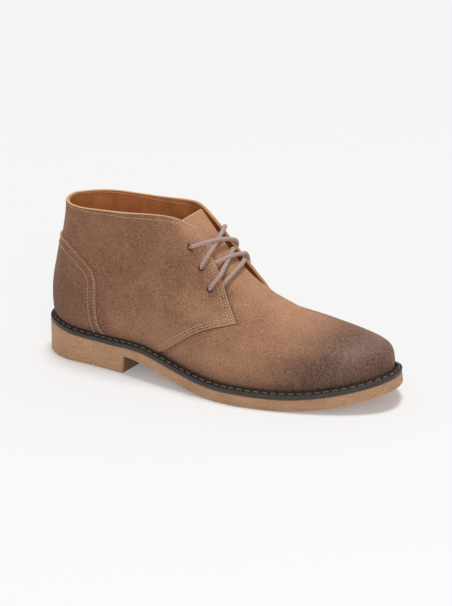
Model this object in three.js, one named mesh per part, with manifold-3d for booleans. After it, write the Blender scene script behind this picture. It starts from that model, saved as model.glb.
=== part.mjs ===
import * as THREE from 'three'
import { mergeVertices } from 'three/addons/utils/BufferGeometryUtils.js'
import Module from 'manifold-3d'

// Right chukka boot, millimetres, +Z up, +X toward the toe, +Y the inner (medial) side.
// "at" is always the distance ahead of the back of the sole; the origin is on the floor
// under the middle of the heel.
const wasm = await Module()
wasm.setup()
const { Manifold } = wasm

const originAt = 43          // from the back of the sole to the heel rest
const soleLength = 311       // outsole, back to toe
const breastAt = 89          // front face of the heel
const breastLean = 1.6
const breastHeight = 15.2    // height of the arch just ahead of the heel
const archEnd = 186          // where the sole comes down flat
const springStart = 232      // where the toe spring starts
const toeSpring = 15
const heelSeat = 21.8        // top of the moulded sole at the heel
const foreSole = 9.6         // thickness of the moulded sole at the ball
const weltThick = 4
const weltMargin = 6.5       // welt and sole beyond the foot line of the upper
const lipFrom = 2
const lipTo = 3.2
const lipHeight = 1.8
const channelTo = 5.2
const channelDeep = .9
const heelAt = 48            // where the heel's round end is over
const waistAt = 133
const ballOuterAt = 212
const ballInnerAt = 230
const gap = .3
const vampWall = 2.2         // vamp, leather and lining
const quarterIn = 1
const quarterOut = 1.4
const tongueWall = 2
const laceRadius = 1.6
const eyeletRadius = 2.3

const table = (keys, rows) => rows.map(row => Object.fromEntries(keys.map((key, i) => [key, row[i]])))

// one row per level of the upper, foot line first
const levelKeys = [
  'v', 'backAt', 'backZ', 'frontAt', 'frontZ', 'heel', 'outer', 'inner', 'outerReach', 'innerReach', 'swing'
]
const levelRows = table(levelKeys, [
  [0, 7.5, 26, 304.5, 27, 30, 47.5, 44, 118, 68, 12],
  [.1, 4, 36, 304.5, 34.5, 32.2, 49.5, 46.6, 118, 72, 11],
  [.22, 2.3, 50, 301, 46.5, 33.2, 49, 45.4, 122, 92, 10.5],
  [.36, 3.8, 66, 281, 54, 32.5, 46, 39.5, 140, 140, 9],
  [.5, 7.6, 82, 251, 58, 31.5, 42, 35, 152, 168, 6],
  [.64, 12, 98, 224, 67, 30.5, 37.5, 35, 132, 148, 4],
  [.8, 16, 114, 193, 84, 29.5, 32.5, 33.5, 85, 95, 2],
  [1, 19, 132, 133, 140, 29, 28, 29, 50, 50, 1]
])
// front edge of the quarters: lap line up to the corner, then the facing
const cornerQ = .46
const lapRows = table(['q', 'turn'], [[0, 77], [.06, 80.5], [.13, 84], [.22, 90], [.32, 99], [cornerQ, 118]])
const facingRows = table(['q', 'turn'], [
  [cornerQ, 118], [.57, 123], [.68, 129], [.78, 135.5], [.87, 142], [.94, 148], [1, 153]
])
// collar height as a level, from the back seam to the top of the facing
const collarRows = table(['p', 'v'], [
  [0, .985], [.3, .978], [.6, .982], [.78, .985], [.88, .98], [.94, .968], [1, .945]
])
// eyelets on each facing, top first
const eyeletRows = table(['turn', 'v'], [[136, .9], [132, .84], [124, .73]])
// front edge of the heel counter, foot first
const counterRows = table(['v', 'turn'], [
  [.06, 52], [.2, 52], [.34, 53], [.46, 54], [.53, 53], [.59, 48.5], [.64, 42], [.675, 33]
])
const counterTop = .66       // level of the counter at the back seam
const throatV = .745         // level where the tongue takes over from the vamp
const vampLap = 7            // degrees the vamp runs on under the quarters

const clamp = (x, a, b) => Math.min(Math.max(x, a), b)
const ease = t => clamp(t, 0, 1) ** 2 * (3 - 2 * clamp(t, 0, 1))
const lerp = (a, b, t) => a + (b - a) * t

// smooth curve through the rows of a table
function along(rows, key, value, x) {
  const n = rows.length
  x = clamp(x, rows[0][key], rows[n - 1][key])
  let i = 0
  while (i < n - 2 && x > rows[i + 1][key]) i++
  const slope = j => (rows[j + 1][value] - rows[j][value]) / (rows[j + 1][key] - rows[j][key])
  const run = j => rows[j + 1][key] - rows[j][key]
  const tangent = j => j === 0 ? slope(0) : j === n - 1 ? slope(n - 2)
    : (slope(j) * run(j - 1) + slope(j - 1) * run(j)) / (run(j) + run(j - 1))
  const h = run(i)
  const t = (x - rows[i][key]) / h
  return (2 * t ** 3 - 3 * t ** 2 + 1) * rows[i][value] + (t ** 3 - 2 * t ** 2 + t) * h * tangent(i)
    + (3 * t ** 2 - 2 * t ** 3) * rows[i + 1][value] + (t ** 3 - t ** 2) * h * tangent(i + 1)
}

function roundEnd(q, full) {
  q = clamp(q, 0, 1)
  return Math.sqrt(q * (2 - q)) + full * q * (1 - q) ** 2
}

function groundZ(at) {
  const arch = breastHeight * (1 - ease((at - 86) / (archEnd - 86)))
  return arch + toeSpring * clamp((at - springStart) / (soleLength - springStart), 0, 1) ** 1.8
}
function seatZ(at) {
  const k = ease((at - 26) / 92)
  return heelSeat * (1 - k) + (groundZ(at) + foreSole) * k
}
const featherZ = at => seatZ(at) + weltThick

// a point of the last: turn in degrees from the back (0) to the toe (180), side -1 outer, +1 inner
function lastPoint(turn, v, side, margin = 0) {
  const r = Object.fromEntries(levelKeys.slice(1).map(key => [key, along(levelRows, 'v', key, v)]))
  const s = (1 - Math.cos(turn * Math.PI / 180)) / 2
  const back = r.backAt - margin
  const front = r.frontAt + margin
  const heel = r.heel + margin
  const at = back + s * (front - back)
  const swing = r.swing * ease((at - 182) / (Math.max(front, 208) - 182))
  // half width of one side: from the heel's to the ball's, times the round ends
  const half = (ball, ballAt, waist, reach) => (
    (heel + (ball + margin - heel) * ease((at - heelAt) / (ballAt - heelAt)) - waist)
    * roundEnd((at - back) / (heel * 1.1), 0) * roundEnd((front - at) / (reach + margin), .06))
  const waist = clamp(1 - v / .45, 0, 1) * 6 * Math.exp(-(((at - waistAt) / 32) ** 2))
  const outer = half(r.outer, ballOuterAt, 0, r.outerReach)
  const inner = half(r.inner, ballInnerAt, waist, r.innerReach)
  const y = side < 0 ? swing - outer : swing + inner
  const foot = lerp(levelRows[0].backZ, levelRows[0].frontZ, s)
  const z = lerp(r.backZ, r.frontZ, s) + (featherZ(at) - foot) * clamp(1 - v / .5, 0, 1) ** 2
  return new THREE.Vector3(at - originAt, y, z)
}

// the last's surface and a distance outside it; turn is negative on the outer side, positive on the inner
function skin(turn, v, off = 0) {
  const spot = (t, w) => {
    const past = Math.abs(t) > 180
    const side = (t < 0) === past ? 1 : -1
    return lastPoint(past ? 360 - Math.abs(t) : Math.abs(t), clamp(w, 0, 1), side)
  }
  const p = spot(turn, v)
  if (!off) return p
  const across = .8
  const up = .006
  const du = spot(turn + across, v).sub(spot(turn - across, v))
  const dv = spot(turn, v + up).sub(spot(turn, v - up))
  return p.addScaledVector(dv.cross(du).normalize(), off)
}

// closed solid from two sheets of points (outer and inner), rows x columns
function plate(outer, inner) {
  const rows = outer.length
  const cols = outer[0].length
  const points = [...outer.flat(), ...inner.flat()]
  const index = []
  const id = (sheet, i, j) => (sheet * rows + i) * cols + j
  const quad = (a, b, c, d) => index.push(a, b, c, a, c, d)
  const last = rows - 1
  const end = cols - 1
  for (let i = 0; i < last; i++) {
    for (let j = 0; j < end; j++) {
      quad(id(0, i, j), id(0, i + 1, j), id(0, i + 1, j + 1), id(0, i, j + 1))
      quad(id(1, i, j), id(1, i, j + 1), id(1, i + 1, j + 1), id(1, i + 1, j))
    }
  }
  for (let j = 0; j < end; j++) {
    quad(id(0, 0, j), id(0, 0, j + 1), id(1, 0, j + 1), id(1, 0, j))
    quad(id(0, last, j), id(1, last, j), id(1, last, j + 1), id(0, last, j + 1))
  }
  for (let i = 0; i < last; i++) {
    quad(id(0, i, 0), id(1, i, 0), id(1, i + 1, 0), id(0, i + 1, 0))
    quad(id(0, i, end), id(0, i + 1, end), id(1, i + 1, end), id(1, i, end))
  }
  return manifold(points, index)
}

// points and triangles to a Manifold, with shared corners merged and flat triangles dropped
function manifold(points, index) {
  let g = new THREE.BufferGeometry().setFromPoints(points)
  g.setIndex(index)
  g = mergeVertices(g, 1e-4)
  const all = g.index.array
  const kept = []
  for (let i = 0; i < all.length; i += 3) {
    const [a, b, c] = [all[i], all[i + 1], all[i + 2]]
    if (a !== b && b !== c && c !== a) kept.push(a, b, c)
  }
  const vertProperties = g.attributes.position.array
  const made = new Manifold(new wasm.Mesh({ numProp: 3, vertProperties, triVerts: new Uint32Array(kept) }))
  if (made.volume() > 0) return made
  throw new Error('a solid is inside out')
}

// the same for a geometry from three.js
function fromGeometry(geometry) {
  geometry.deleteAttribute('normal')
  geometry.deleteAttribute('uv')
  const g = mergeVertices(geometry, 1e-4)
  const p = g.attributes.position
  const points = Array.from({ length: p.count }, (_, i) => new THREE.Vector3().fromBufferAttribute(p, i))
  return manifold(points, [...g.index.array])
}

function toGeometry(body) {
  const mesh = body.getMesh()
  const g = new THREE.BufferGeometry()
  g.setAttribute('position', new THREE.BufferAttribute(new Float32Array(mesh.vertProperties), 3))
  g.setIndex(new THREE.BufferAttribute(new Uint32Array(mesh.triVerts), 1))
  return g
}

const group = new THREE.Group()
function add(name, body, color, roughness) {
  const g = toGeometry(body).toNonIndexed()
  g.computeVertexNormals()
  const mesh = new THREE.Mesh(g, new THREE.MeshStandardMaterial({ name, color, roughness, metalness: 0 }))
  mesh.name = name
  group.add(mesh)
}
const steps = (a, b, n) => Array.from({ length: n + 1 }, (_, i) => a + (b - a) * i / n)

// ---- upper: the quarters lie over the vamp, in one hollow body
const topV = .985            // level of the collar at the back
const footV = .004
const hiddenWeld = 1.02      // cutters run this far past the quarters' front edge
const edgeAt = q => along(q <= cornerQ ? lapRows : facingRows, 'q', 'turn', q)
const mirrored = list => [...list.slice(1).reverse().map(x => -x), ...list]
const quarterQ = [0, .06, .13, .22, .32, .4, cornerQ, .53, .6, .68, .76, .84, .91, .96, 1]
const quarterP = mirrored([0, .05, .11, .18, .25, .33, .42, .51, .6, .68, .76, .83, .89, .94, .975, 1])

// keeps a point at least `want` above the foot line, or puts it exactly there
function settle(p, want = gap, exact = false) {
  const z = featherZ(p.x + originAt) + want
  p.z = exact ? z : Math.max(p.z, z)
  return p
}
// the inner facing stands off the tongue, 4 mm low down and 1.4 mm at the top
function proud(turn, v) {
  return turn < 0 ? 0 : (4 - 2.6 * ease((v - .6) / .3)) * ease((turn - 98) / 34) * ease((v - .36) / .16)
}
// p runs from one front edge (-1) round the back (0) to the other (1), q from the foot line to the collar
function quarterPoint(p, q, off, foot, spread) {
  const turn = p * edgeAt(q) * (Math.abs(p) === 1 ? spread : 1)
  const rim = lerp(topV, along(collarRows, 'p', 'v', Math.abs(p)), ease((q - .7) / .3))
  const v = lerp(footV, rim, q)
  return settle(skin(turn, v, off + proud(turn, v)), foot, q === 0)
}
function quarterSheet(off, foot = gap, spread = 1) {
  return quarterQ.map(q => quarterP.map(p => quarterPoint(p, q, off, foot, spread)))
}
const quarters = plate(quarterSheet(quarterOut), quarterSheet(-quarterIn))

const vampV = [0, .06, .13, .2, .27, .34, .41, cornerQ, .53, .6, .67, .71, throatV]
const vampC = mirrored([0, .06, .12, .19, .27, .36, .46, .56, .67, .78, .89, 1]).reverse()
// c is 0 on the ridge and 1 or -1 at the edges hidden under the quarters
function vampPoint(c, v, off, foot) {
  const hidden = edgeAt(v / topV) - vampLap
  const turn = Math.sign(c || 1) * (180 - Math.abs(c) * (180 - hidden))
  return settle(skin(turn, lerp(footV, 1, v), off), foot, v === 0)
}
const vampSheet = (off, foot = gap) => vampV.map(v => vampC.map(c => vampPoint(c, v, off, foot)))
const vamp = plate(vampSheet(0), vampSheet(-vampWall))

// a drill through the skin, square to it
function drill(turn, v, radius) {
  const from = skin(turn, v, -8)
  const to = skin(turn, v, 8)
  const g = new THREE.CylinderGeometry(radius, radius, from.distanceTo(to), 14)
  g.rotateX(Math.PI / 2)
  const aimed = new THREE.Matrix4().lookAt(to, from, new THREE.Vector3(0, 0, 1))
  g.applyMatrix4(aimed.setPosition(from.lerp(to, .5)))
  return fromGeometry(g)
}
function punched(body, radius) {
  const drills = eyeletRows.flatMap(e => [-1, 1].map(side => drill(side * e.turn, e.v, radius)))
  return drills.reduce((left, one) => left.subtract(one), body)
}
const upper = punched(quarters.add(vamp), eyeletRadius)
add('upper', upper, '#8f6a50', .9)

// the same two forms a gap larger, to cut the neighbours clear
const cutFoot = -.02
const grownSheet = off => quarterSheet(off, cutFoot, hiddenWeld)
const quartersGrown = plate(grownSheet(quarterOut + gap), grownSheet(-quarterIn - gap))
const vampGrown = plate(vampSheet(gap, cutFoot), vampSheet(-vampWall - gap, cutFoot))
const clearOfUpper = body => body.subtract(quartersGrown).subtract(vampGrown)

// ---- tongue: carries on from the vamp, under the facings
const tongueOff = -quarterIn - 2 * gap
const tongueUnder = 5        // degrees under each facing at the throat
const tongueTop = { v: .985, outerTurn: 140, innerTurn: 163, sink: 3.5 }
const tongueC = mirrored([0, .2, .4, .6, .8, 1]).reverse()
function tonguePoint(c, k, off) {
  const v = lerp(throatV + .012, tongueTop.v, k)
  const low = edgeAt(v / topV) - tongueUnder
  const side = c < 0 ? lerp(low, tongueTop.outerTurn, k) : lerp(low, tongueTop.innerTurn, ease(k))
  const turn = Math.sign(c || 1) * (180 - Math.abs(c) * (180 - side))
  return skin(turn, v, off - tongueTop.sink * k * k * (1 - c * c))
}
const tongueSheet = off => steps(0, 1, 9).map(k => tongueC.map(c => tonguePoint(c, k, off)))
const tongue = clearOfUpper(plate(tongueSheet(tongueOff), tongueSheet(tongueOff - tongueWall)))
const tongueGrown = plate(tongueSheet(tongueOff + gap), tongueSheet(tongueOff - tongueWall - gap))
add('tongue', tongue, '#9c7355', .9)

// ---- heel counter: an overlay cut between two larger forms of the quarters
const counterThick = 1.2
const counterQ = [0, .2, .38, .54, .68, .79, .87, .92, .96, 1]
const counterFront = counterRows[counterRows.length - 1]
function counterPoint(p, q, off) {
  const v = lerp(counterRows[0].v, lerp(counterTop, counterFront.v, p * p), q)
  return settle(skin(p * along(counterRows, 'v', 'turn', v), v, off), lipHeight + .5)
}
const counterSheet = off => counterQ.map(q => steps(-1, 1, 16).map(p => counterPoint(p, q, off)))
const counterBody = plate(counterSheet(quarterOut + gap + counterThick), counterSheet(quarterOut - gap))
add('heel_counter', clearOfUpper(counterBody), '#7d5a45', .9)

// ---- rings and plates that follow the foot line, a margin outside it
const turns = steps(0, 180, 40)
const over = (height, more) => (at, turn) => height(at, turn) + more
function rimPoint(turn, side, [margin, height]) {
  const p = lastPoint(turn, 0, side, margin)
  p.z = height(p.x + originAt, turn)
  return p
}
const quad = (index, a, b, c, d) => index.push(a, b, c, a, c, d)

// a closed band all the way round, from a closed section of [margin, height]
function band(section) {
  const way = [...turns.map(t => [t, -1]), ...turns.slice(1, -1).reverse().map(t => [t, 1])]
  const points = section.flatMap(row => way.map(([t, side]) => rimPoint(t, side, row)))
  const rows = section.length
  const cols = way.length
  const index = []
  const id = (i, j) => (i % rows) * cols + j % cols
  for (let i = 0; i < rows; i++) {
    for (let j = 0; j < cols; j++) quad(index, id(i, j), id(i, j + 1), id(i + 1, j + 1), id(i + 1, j))
  }
  return manifold(points, index)
}

// a plate that fills the outline; its section runs down the side from top to bottom
function slab(section, list = turns) {
  const rows = section.length
  const cols = list.length
  const index = []
  const points = [-1, 1].flatMap(side => section.flatMap(row => list.map(t => rimPoint(t, side, row))))
  const id = (side, i, j) => (side * rows + i) * cols + j
  const last = rows - 1
  for (let j = 0; j < cols - 1; j++) {
    for (let i = 0; i < last; i++) {
      quad(index, id(0, i, j), id(0, i + 1, j), id(0, i + 1, j + 1), id(0, i, j + 1))
      quad(index, id(1, i, j), id(1, i, j + 1), id(1, i + 1, j + 1), id(1, i + 1, j))
    }
    quad(index, id(0, 0, j), id(0, 0, j + 1), id(1, 0, j + 1), id(1, 0, j))
    quad(index, id(0, last, j), id(1, last, j), id(1, last, j + 1), id(0, last, j + 1))
  }
  return manifold(points, index)
}

// ---- welt: outer edge, stitch channel and a raised lip against the upper
const weltInner = -5
const welt = clearOfUpper(band([
  [weltInner, over(seatZ, gap)],
  [weltMargin, over(seatZ, gap)],
  [weltMargin, over(featherZ, -.5)],
  [weltMargin - .5, featherZ],
  [channelTo, featherZ],
  [channelTo - .4, over(featherZ, -channelDeep)],
  [lipTo + .2, over(featherZ, -channelDeep)],
  [lipTo - .3, over(featherZ, lipHeight)],
  [lipFrom, over(featherZ, lipHeight)],
  [lipFrom, featherZ],
  [weltInner, featherZ]
]))
add('welt', welt, '#35312f', .6)

// ---- insole, with the filler under it that fills the welt's middle
const insoleMargin = -3.6
const insoleThick = 2.5
const insole = slab([
  [insoleMargin, over(featherZ, gap + insoleThick)], [insoleMargin, over(featherZ, gap)],
  [weltInner - gap, over(featherZ, gap)], [weltInner - gap, over(seatZ, gap)]
])
add('insole', insole, '#9a6a40', .8)

// ---- outsole: heel, arch and toe spring in one moulding
function turnOf(at) {
  let low = 0
  let high = 180
  for (let i = 0; i < 40; i++) {
    const mid = (low + high) / 2
    if (lastPoint(mid, 0, -1, weltMargin).x + originAt < at) low = mid
    else high = mid
  }
  return low
}
const breastTurn = turnOf(breastAt)
const archTurn = turnOf(breastAt + breastLean)
const floorZ = (at, turn) => turn <= breastTurn ? 0 : groundZ(at)
const heelTurns = turns.filter(t => t < breastTurn - 1.2)
const frontTurns = turns.filter(t => t > archTurn + 1.2)
const soleBlock = slab([
  [weltMargin - .5, seatZ], [weltMargin, over(seatZ, -.5)], [weltMargin, over(floorZ, 1.3)],
  [weltMargin - .4, over(floorZ, .4)], [weltMargin - 1.3, floorZ]
], [...heelTurns, breastTurn, archTurn, ...frontTurns])
// short notches in the bottom edge of the heel
const notch = { ats: [26, 59], wide: 3.6, deep: 1.7, run: 11 }
function notchCut(at, side) {
  const rim = lastPoint(turnOf(at), 0, side, weltMargin).y
  const box = new THREE.BoxGeometry(notch.wide, notch.run, notch.deep * 2)
  return fromGeometry(box.translate(at - originAt, rim + side * (1 - notch.run / 2), 0))
}
const notchCuts = notch.ats.flatMap(at => [-1, 1].map(side => notchCut(at, side)))
add('outsole', notchCuts.reduce((left, one) => left.subtract(one), soleBlock), '#b08a66', .8)

// ---- laces: a round cord, each run held just off the leather
const clear = quarterOut + gap + laceRadius + .25
const onTongue = tongueOff + gap + laceRadius + .3
const cordOutline = new THREE.Shape(steps(0, Math.PI * 1.75, 7).map(
  a => new THREE.Vector2(Math.cos(a) * laceRadius, Math.sin(a) * laceRadius)))
function cord(points, count) {
  const extrudePath = new THREE.CatmullRomCurve3(points, false, 'centripetal')
  const settings = { steps: count, bevelEnabled: false, extrudePath }
  return fromGeometry(new THREE.ExtrudeGeometry(cordOutline, settings))
}
const lacePasses = punched(quartersGrown, eyeletRadius - gap)
// trimmed clear of the leather; the largest piece is the lace and the rest are slivers
function trimmed(body) {
  const pieces = body.subtract(lacePasses).subtract(vampGrown).subtract(tongueGrown).decompose()
  return pieces.reduce((a, b) => a.volume() > b.volume() ? a : b)
}
// a point by the facing edge: degrees past it (over the gap) or short of it (on the facing), and a height
function byEdge(side, v, past, height) {
  const turn = side * (edgeAt(v / topV) + past)
  return skin(turn, v, height + (past > 2 ? 0 : proud(turn, v)))
}
function fromHole(side, e) {
  return [-.9, 1.3, 2.6].map(height => skin(side * e.turn, e.v, height + proud(side * e.turn, e.v)))
}
// out of one eyelet, over both facing edges, into another
function crossing(from, v1, v2, to, lift) {
  const h = clear + lift
  return [
    ...fromHole(-1, from), byEdge(-1, v1, -1, h), byEdge(-1, lerp(v1, v2, .25), 9, h),
    byEdge(1, lerp(v1, v2, .75), 9, h), byEdge(1, v2, -1, h), ...fromHole(1, to).reverse()
  ]
}
// out of an eyelet, over its own facing edge, then down beside the other edge
function diving(side, e, v1, v2, lift) {
  const short = e.turn - edgeAt(e.v / topV)
  return [
    ...fromHole(side, e),
    byEdge(side, lerp(e.v, v1, .5), lerp(short, -1, .5), clear + lift),
    byEdge(side, v1, 0, clear + lift),
    byEdge(side, lerp(v1, v2, .3), 10, lerp(clear, onTongue, .25) + lift),
    byEdge(-side, lerp(v1, v2, .75), 14, onTongue + lift * .8), byEdge(-side, v2, 7.5, onTongue + lift * .4)
  ]
}
const [top, mid, low] = eyeletRows
const upperRuns = [crossing(top, .905, .888, mid, 1.6), crossing(mid, .868, .922, top, 0)]
const lowerRuns = [diving(1, low, .825, .85, 1.7), diving(-1, low, .805, .862, 0)]
const barRun = [
  byEdge(-1, .77, 8, onTongue),
  byEdge(-1, .78, 20, onTongue),
  skin(180, .788, onTongue),
  byEdge(1, .795, 20, onTongue),
  byEdge(1, .8, 8, onTongue)
]
const joined = (runs, count) => runs.map(run => cord(run, count)).reduce((a, b) => a.add(b))
add('lace_upper_cross', trimmed(joined(upperRuns, 22)), '#b59a92', .85)
add('lace_lower_cross', trimmed(joined(lowerRuns, 20)), '#b59a92', .85)
add('lace_bar', trimmed(cord(barRun, 10)), '#b59a92', .85)

export default group
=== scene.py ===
import bpy
import bmesh
import numpy as np
from math import cos, pi, radians, sin
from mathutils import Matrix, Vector


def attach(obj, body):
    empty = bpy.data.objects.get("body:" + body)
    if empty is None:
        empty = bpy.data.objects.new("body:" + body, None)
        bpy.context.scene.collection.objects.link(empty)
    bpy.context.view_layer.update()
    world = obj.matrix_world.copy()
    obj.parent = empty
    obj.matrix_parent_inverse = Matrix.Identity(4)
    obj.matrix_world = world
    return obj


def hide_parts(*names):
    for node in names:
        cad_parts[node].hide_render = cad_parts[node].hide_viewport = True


# A right chukka boot in brushed suede on a moulded gum sole.
# Shapes are worked out in millimetres and put into the meshes in metres.
# +X points to the toe, +Y to the inner side, +Z up. "at" is the distance ahead of the back of the sole.
# "turn" goes round the boot in degrees, from 0 at the back to 180 at the toe, with a minus on the outer
# side. The level, v, goes up it from 0 at the welt to 1 a little above the collar.

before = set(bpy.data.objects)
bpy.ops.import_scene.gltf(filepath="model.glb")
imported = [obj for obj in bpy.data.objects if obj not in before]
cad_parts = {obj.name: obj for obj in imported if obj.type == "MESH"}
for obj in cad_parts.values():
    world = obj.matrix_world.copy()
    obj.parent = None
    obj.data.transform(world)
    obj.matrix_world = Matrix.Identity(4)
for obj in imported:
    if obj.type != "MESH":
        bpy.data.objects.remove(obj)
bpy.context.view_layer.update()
print("frame loaded")

# camera and light
view = dict(azimuth=31, elevation=20, distance=1.8, aim=(.1173, .0055, .0596), lens=133.7)
# top is a wide, soft sun overhead and a little behind, fill a square lamp to the toe's side
lights = dict(
    world=.42,
    top=dict(towards=(0, .12, 1), strength=1.95, spread=17),
    fill=dict(place=(1.5, -1.7, 1.2), towards=(.11, 0, .06), size=1.5, power=10),
)


def linear(code):  # "#rrggbb" to linear light
    parts = [int(code[i:i + 2], 16) / 255 for i in (1, 3, 5)]
    return [c / 12.92 if c <= .04045 else ((c + .055) / 1.055) ** 2.4 for c in parts] + [1]


def placeCamera():
    a, e = radians(view["azimuth"]), radians(view["elevation"])
    aim = Vector(view["aim"])
    camera = bpy.data.objects.new("camera", bpy.data.cameras.new("camera"))
    camera.location = aim + view["distance"] * Vector((sin(a) * cos(e), -cos(a) * cos(e), sin(e)))
    camera.rotation_euler = (aim - camera.location).to_track_quat("-Z", "Y").to_euler()
    camera.data.lens = view["lens"]
    camera.data.clip_end = 60
    bpy.context.scene.collection.objects.link(camera)
    bpy.context.scene.camera = camera


def placeLights():
    fill = bpy.data.objects.new("fillLight", bpy.data.lights.new("fillLight", "AREA"))
    fill.data.size, fill.data.energy = lights["fill"]["size"], lights["fill"]["power"]
    fill.location = lights["fill"]["place"]
    top = bpy.data.objects.new("topLight", bpy.data.lights.new("topLight", "SUN"))
    top.data.energy, top.data.angle = lights["top"]["strength"], radians(lights["top"]["spread"])
    ways = Vector(lights["fill"]["towards"]) - fill.location, -Vector(lights["top"]["towards"])
    for lamp, way in zip((fill, top), ways):
        lamp.rotation_euler = way.to_track_quat("-Z", "Y").to_euler()
        bpy.context.scene.collection.objects.link(lamp)
    world = bpy.data.worlds.new("studio")
    world.use_nodes = True
    world.node_tree.nodes["Background"].inputs[0].default_value = linear("#ffffff")
    world.node_tree.nodes["Background"].inputs[1].default_value = lights["world"]
    bpy.context.scene.world = world
    bpy.context.scene.view_settings.view_transform = "Standard"


placeCamera()
placeLights()
print("camera and lights placed")

# the last: the form that the boot is drawn over
last = dict(
    originAt=43, soleLength=311, breastAt=89, breastLean=1.6, breastHeight=15.2, archEnd=186,
    springStart=232, toeSpring=15, heelSeat=21.8, backRise=4.6, waistDip=1.8, foreSole=9.6,
    weltThick=4, weltMargin=6.5, ballOuterAt=212, ballInnerAt=230, heelAt=48, heelRound=1.1,
    waistAt=133, waistLong=32, waistIn=6, toeFull=.06, swingFrom=182, archFrom=86,
    seatFrom=26, seatRun=92, riseTo=56, riseRun=46, dipAt=84, dipLong=22,
)
# level, back at and z, front at and z, half width at the heel, outer and inner half width at the ball,
# outer and inner reach of the toe's round end, swing of the toe to the inner side
levelRows = np.array([
    (0, 6.7, 26, 304.2, 27, 31.2, 47.5, 44, 118, 58, 12),
    (.1, 5.2, 36, 305.2, 34.5, 32.4, 49.5, 46.6, 118, 63, 11),
    (.22, 5, 50, 302, 46.5, 32.9, 49, 45.4, 122, 86, 10.5),
    (.36, 6.6, 66, 281, 54, 32.3, 46, 39.5, 140, 140, 9),
    (.5, 10, 82, 251, 58, 31.3, 42, 35, 152, 168, 6),
    (.64, 13.3, 98, 224, 67, 30.4, 37.5, 35, 132, 148, 4),
    (.8, 16.4, 114, 193, 84, 29.5, 32.5, 33.5, 85, 95, 2),
    (1, 19, 132, 133, 140, 29, 28, 28, 50, 50, 1),
], float)
# front edge of the quarters, as turn at each height: the lap line up to the corner, then the facing
cornerQ = .46
lapRows = np.array([(0, 77), (.06, 80.5), (.13, 84), (.22, 90), (.32, 99), (cornerQ, 118)], float)
facingRows = np.array([
    (cornerQ, 118), (.57, 123), (.68, 129.2), (.78, 136.8),
    (.87, 145.2), (.92, 149.6), (.97, 153), (1, 154.8),
], float)
# level of the collar, from the back seam to the front edge
collarRows = np.array([
    (0, .985), (.3, .978), (.6, .982), (.78, .985), (.88, .98), (.94, .971), (1, .95),
], float)
eyelets = [(136, .9), (132, .84), (124, .73)]  # turn and level on each facing, top first
topV, throatV, innerLower = .985, .745, .011  # the inner side of the collar is a little lower


def ease(t):
    t = np.clip(t, 0, 1)
    return t * t * (3 - 2 * t)


def lerp(a, b, t):
    return a + (b - a) * t


def unit(a):
    return a / np.maximum(np.linalg.norm(a, axis=-1, keepdims=True), 1e-9)


def along(rows, column, x):
    # smooth curve through a table: a cubic in each gap, with slopes weighted by the gaps beside each knot
    knots, values = rows[:, 0], rows[:, column]
    x = np.clip(x, knots[0], knots[-1])
    gaps = np.diff(knots)
    slopes = np.diff(values) / gaps
    middle = (slopes[1:] * gaps[:-1] + slopes[:-1] * gaps[1:]) / (gaps[1:] + gaps[:-1])
    tangents = np.concatenate([slopes[:1], middle, slopes[-1:]])
    i = np.clip(np.searchsorted(knots, x, side="right") - 1, 0, len(knots) - 2)
    h = gaps[i]
    t = (x - knots[i]) / h
    return ((2 * t ** 3 - 3 * t ** 2 + 1) * values[i] + (t ** 3 - 2 * t ** 2 + t) * h * tangents[i]
            + (3 * t ** 2 - 2 * t ** 3) * values[i + 1] + (t ** 3 - t ** 2) * h * tangents[i + 1])


def roundEnd(q, full):  # 0 at the tip to 1, as a quarter circle with a little more fullness
    q = np.clip(q, 0, 1)
    return np.sqrt(q * (2 - q)) + full * q * (1 - q) ** 2


def groundZ(at):  # underside of the sole: arch, flat ball, toe spring
    arch = last["breastHeight"] * (1 - ease((at - last["archFrom"]) / (last["archEnd"] - last["archFrom"])))
    spring = np.clip((at - last["springStart"]) / (last["soleLength"] - last["springStart"]), 0, 1) ** 1.8
    return arch + last["toeSpring"] * spring


def seatZ(at):  # top of the sole: level over the heel with a rise at the back, then following the ground
    k = ease((at - last["seatFrom"]) / last["seatRun"])
    rise = last["backRise"] * ease((last["riseTo"] - at) / last["riseRun"])
    dip = last["waistDip"] * np.exp(-((at - last["dipAt"]) / last["dipLong"]) ** 2)
    return lerp(last["heelSeat"], groundZ(at) + last["foreSole"], k) + rise - dip


def featherZ(at):  # top of the welt
    return seatZ(at) + last["weltThick"]


def edgeAt(q):  # the quarters' front edge at a share of their height
    return np.where(np.asarray(q) <= cornerQ, along(lapRows, 1, q), along(facingRows, 1, q))


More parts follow.
